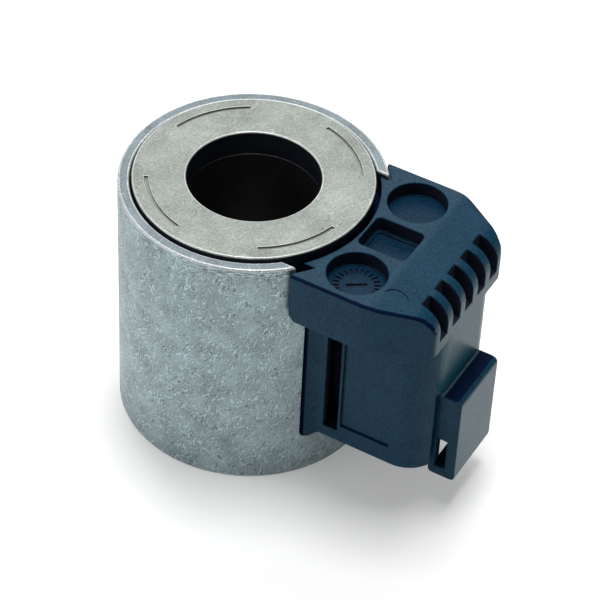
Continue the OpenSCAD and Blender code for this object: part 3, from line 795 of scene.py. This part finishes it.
def paintHousing(housing, s, slab, neck, latch):
    floorHigh = slab["high"] - recessSizes["depth"] + 2 * slack
    lipLow, lipHigh = s["lipRange"]
    onNeckSide = lambda c, n: abs(n.y) > facing and abs(c.y) > neck["half"] - slack and c.x < neck["reach"]
    onLatchTop = lambda c: (abs(c.z - latch["high"]) < s["latchTop"] and c.x > slab["outer"] - 2 * slack
                            and abs(c.y) < latch["half"] - 2 * slack)
    # painted shade on the slab's rounded rim, the room round the plate and the neck's sides at the slab
    paintFaces(housing, paintedShadePlastic, lambda c, n: (
        slack < n.z < straight and abs(n.y) > s["sideways"] and onSlabRim(c)))
    paintFaces(housing, paintedShadePlastic, lambda c, n: (
        c.xy.length < neck["plateRoom"] + slack and abs(c.y) < neck["half"] - 2 * slack))
    paintFaces(housing, paintedShadePlastic, lambda c, n: onNeckSide(c, n) and c.z < slab["low"] + 2 * slack)
    # painted shade on the floors of the recesses
    paintFaces(housing, shadedPlastic, lambda c, n: inRecess(c) and n.z > facing and c.z < floorHigh)
    # painted shade on the walls of the recesses, grip slots and side pockets
    paintFaces(housing, recessShadePlastic, isShadow)
    # painted sheen on the faces at the outer end
    paintFaces(housing, housingEndSheenPlastic, lambda c, n: n.x > facing and c.x > slab["outer"] - s["outerEnd"])
    # painted shade on the latch cage's flat top
    paintFaces(housing, paintedShadePlastic, lambda c, n: onLatchTop(c) and n.z > straight)
    # painted highlight along the latch cage's foot
    paintFaces(housing, lipHighlightPlastic, lambda c, n: (
        onLatchTop(c) and lipLow < n.z < lipHigh and c.x < slab["outer"] + s["lipOut"]))


def makeHousing(s):
    housing = makeSlab(slabSizes, s)
    housing.name = "connectorHousing"
    combine(housing, "UNION", makeNeck(s, slabSizes, shroudSizes, latchSizes), makeLatch(latchSizes))
    coilRoom = addRod("coilRoom", s["sleeveIn"], s["sleeveLow"] - over, s["sleeveHigh"] + over)
    plateRoom = addRod("plateRoom", s["plateRoom"], s["sleeveHigh"], slabSizes["high"] + over)
    combine(housing, "DIFFERENCE", coilRoom, plateRoom, makeCavity(shroudSizes))
    cutSides(housing, sideSizes, shroudSizes)
    cutSlab(housing, gripSizes, recessSizes, slabSizes)
    combine(housing, "DIFFERENCE", makeLatchSlot(latchSizes))
    dress(housing, housingPlastic, paintedShadePlastic, recessShadePlastic, housingEndSheenPlastic, shadedPlastic, lipHighlightPlastic)
    softenEdges(housing, edgeSizes["slabRim"], housingPlastic, weighHousing)
    markSlab(housing, markSizes, recessSizes, slabSizes)
    paintHousing(housing, paintSizes, slabSizes, s, latchSizes)
    return housing


finishPiece(makeHousing(neckSizes), "connector_housing")


# Pieces that keep their CAD form take these finishes
copperLooks = dict(tone=(0.60, 0.26, 0.11), metal=1.0, beating=0.1, grain=0.4, clouds=0.5, rough=0.35, relief=0.1)
brassLooks = dict(tone=(0.62, 0.48, 0.21), metal=1.0, beating=0.1, grain=0.3, clouds=0.5, rough=0.35, relief=0.1)
tinLooks = dict(tone=(0.62, 0.63, 0.64), metal=1.0, beating=0.06, grain=0.2, clouds=0.3, rough=0.26, relief=0.05)
tapeLooks = dict(tone=(0.60, 0.46, 0.12), rough=0.35, gloss=0.5, grain=0.5, relief=0.1)
copperWire = makeSteel("copperWire", copperLooks, flat=True)
terminalBrass = makeSteel("terminalBrass", brassLooks, flat=True)
pinTin = makeSteel("pinTin", tinLooks, flat=True)
wrapTape = makePlastic("wrapTape", tapeLooks)
finishes = dict(lower_pole_plate=plateSteel, bobbin=bobbinPlastic, winding=copperWire, winding_wrap=wrapTape,
                start_lead=copperWire, finish_lead=copperWire, start_terminal=terminalBrass,
                finish_terminal=terminalBrass, start_pin=pinTin, finish_pin=pinTin)
for node, material in finishes.items():
    dress(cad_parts[node], material)
print("CAD nodes finished:", len(finishes))


# Stage: pale floor, soft light from above and behind, weaker light from the front and side, and the photo's camera
stageLooks = dict(size=6, floor=(0.85, 0.85, 0.85, 1), rough=0.9, lift=0.26, white=(1, 1, 1, 1), sky=0.06)
softboxes = dict(keySoftbox=dict(place=(-0.05, 0.12, 1.22), size=0.45, power=10.6),
                 backSoftbox=dict(place=(-0.46, 0.74, 0.816), size=0.9, power=6.6),
                 frontSoftbox=dict(place=(-0.75, -0.75, 0.45), size=0.8, power=3.8),
                 sideSoftbox=dict(place=(0.98, 0.10, 0.35), size=0.8, power=0.8))
softboxAim = Vector((0.008, 0, 0.02))
cameraSizes = dict(place=(0.1313, -0.2301, 0.2657), turn=(46.764, -2.1645, 30.235), lens=156.54, sensor=36)

bpy.ops.object.select_all(action="DESELECT")
bpy.ops.mesh.primitive_plane_add(size=stageLooks["size"], location=(0, 0, 0))
floor = bpy.context.object
floor.name = "floor"
floorWhite, tree, shader = newMaterial("floorWhite")
shader.inputs["Base Color"].default_value = stageLooks["floor"]
shader.inputs["Roughness"].default_value = stageLooks["rough"]
shader.inputs["Specular IOR Level"].default_value = 0.0
shader.inputs["Emission Color"].default_value = stageLooks["white"]
rays = addNode(tree, "LightPath").outputs
seen = addMath(tree, "MAXIMUM", rays["Is Glossy Ray"], rays["Is Transmission Ray"])
seen = addMath(tree, "MAXIMUM", rays["Is Camera Ray"], seen)
feed(tree, shader.inputs["Emission Strength"], addMath(tree, "MULTIPLY", seen, stageLooks["lift"]))
floor.data.materials.append(floorWhite)

world = bpy.data.worlds.new("studio")
world.use_nodes = True
bpy.context.scene.world = world
world.node_tree.nodes["Background"].inputs["Color"].default_value = stageLooks["white"]
world.node_tree.nodes["Background"].inputs["Strength"].default_value = stageLooks["sky"]

for name, looks in softboxes.items():
    bpy.ops.object.light_add(type="AREA", location=looks["place"])
    box = bpy.context.object
    box.name = name
    box.data.size = looks["size"]
    box.data.energy = looks["power"]
    box.rotation_euler = (softboxAim - box.location).to_track_quat("-Z", "Y").to_euler()

bpy.ops.object.camera_add(location=cameraSizes["place"], rotation=[math.radians(a) for a in cameraSizes["turn"]])
camera = bpy.context.object
camera.data.lens = cameraSizes["lens"]
camera.data.sensor_width = cameraSizes["sensor"]
bpy.context.scene.camera = camera
bpy.context.scene.view_settings.view_transform = "Standard"
print("stage set")
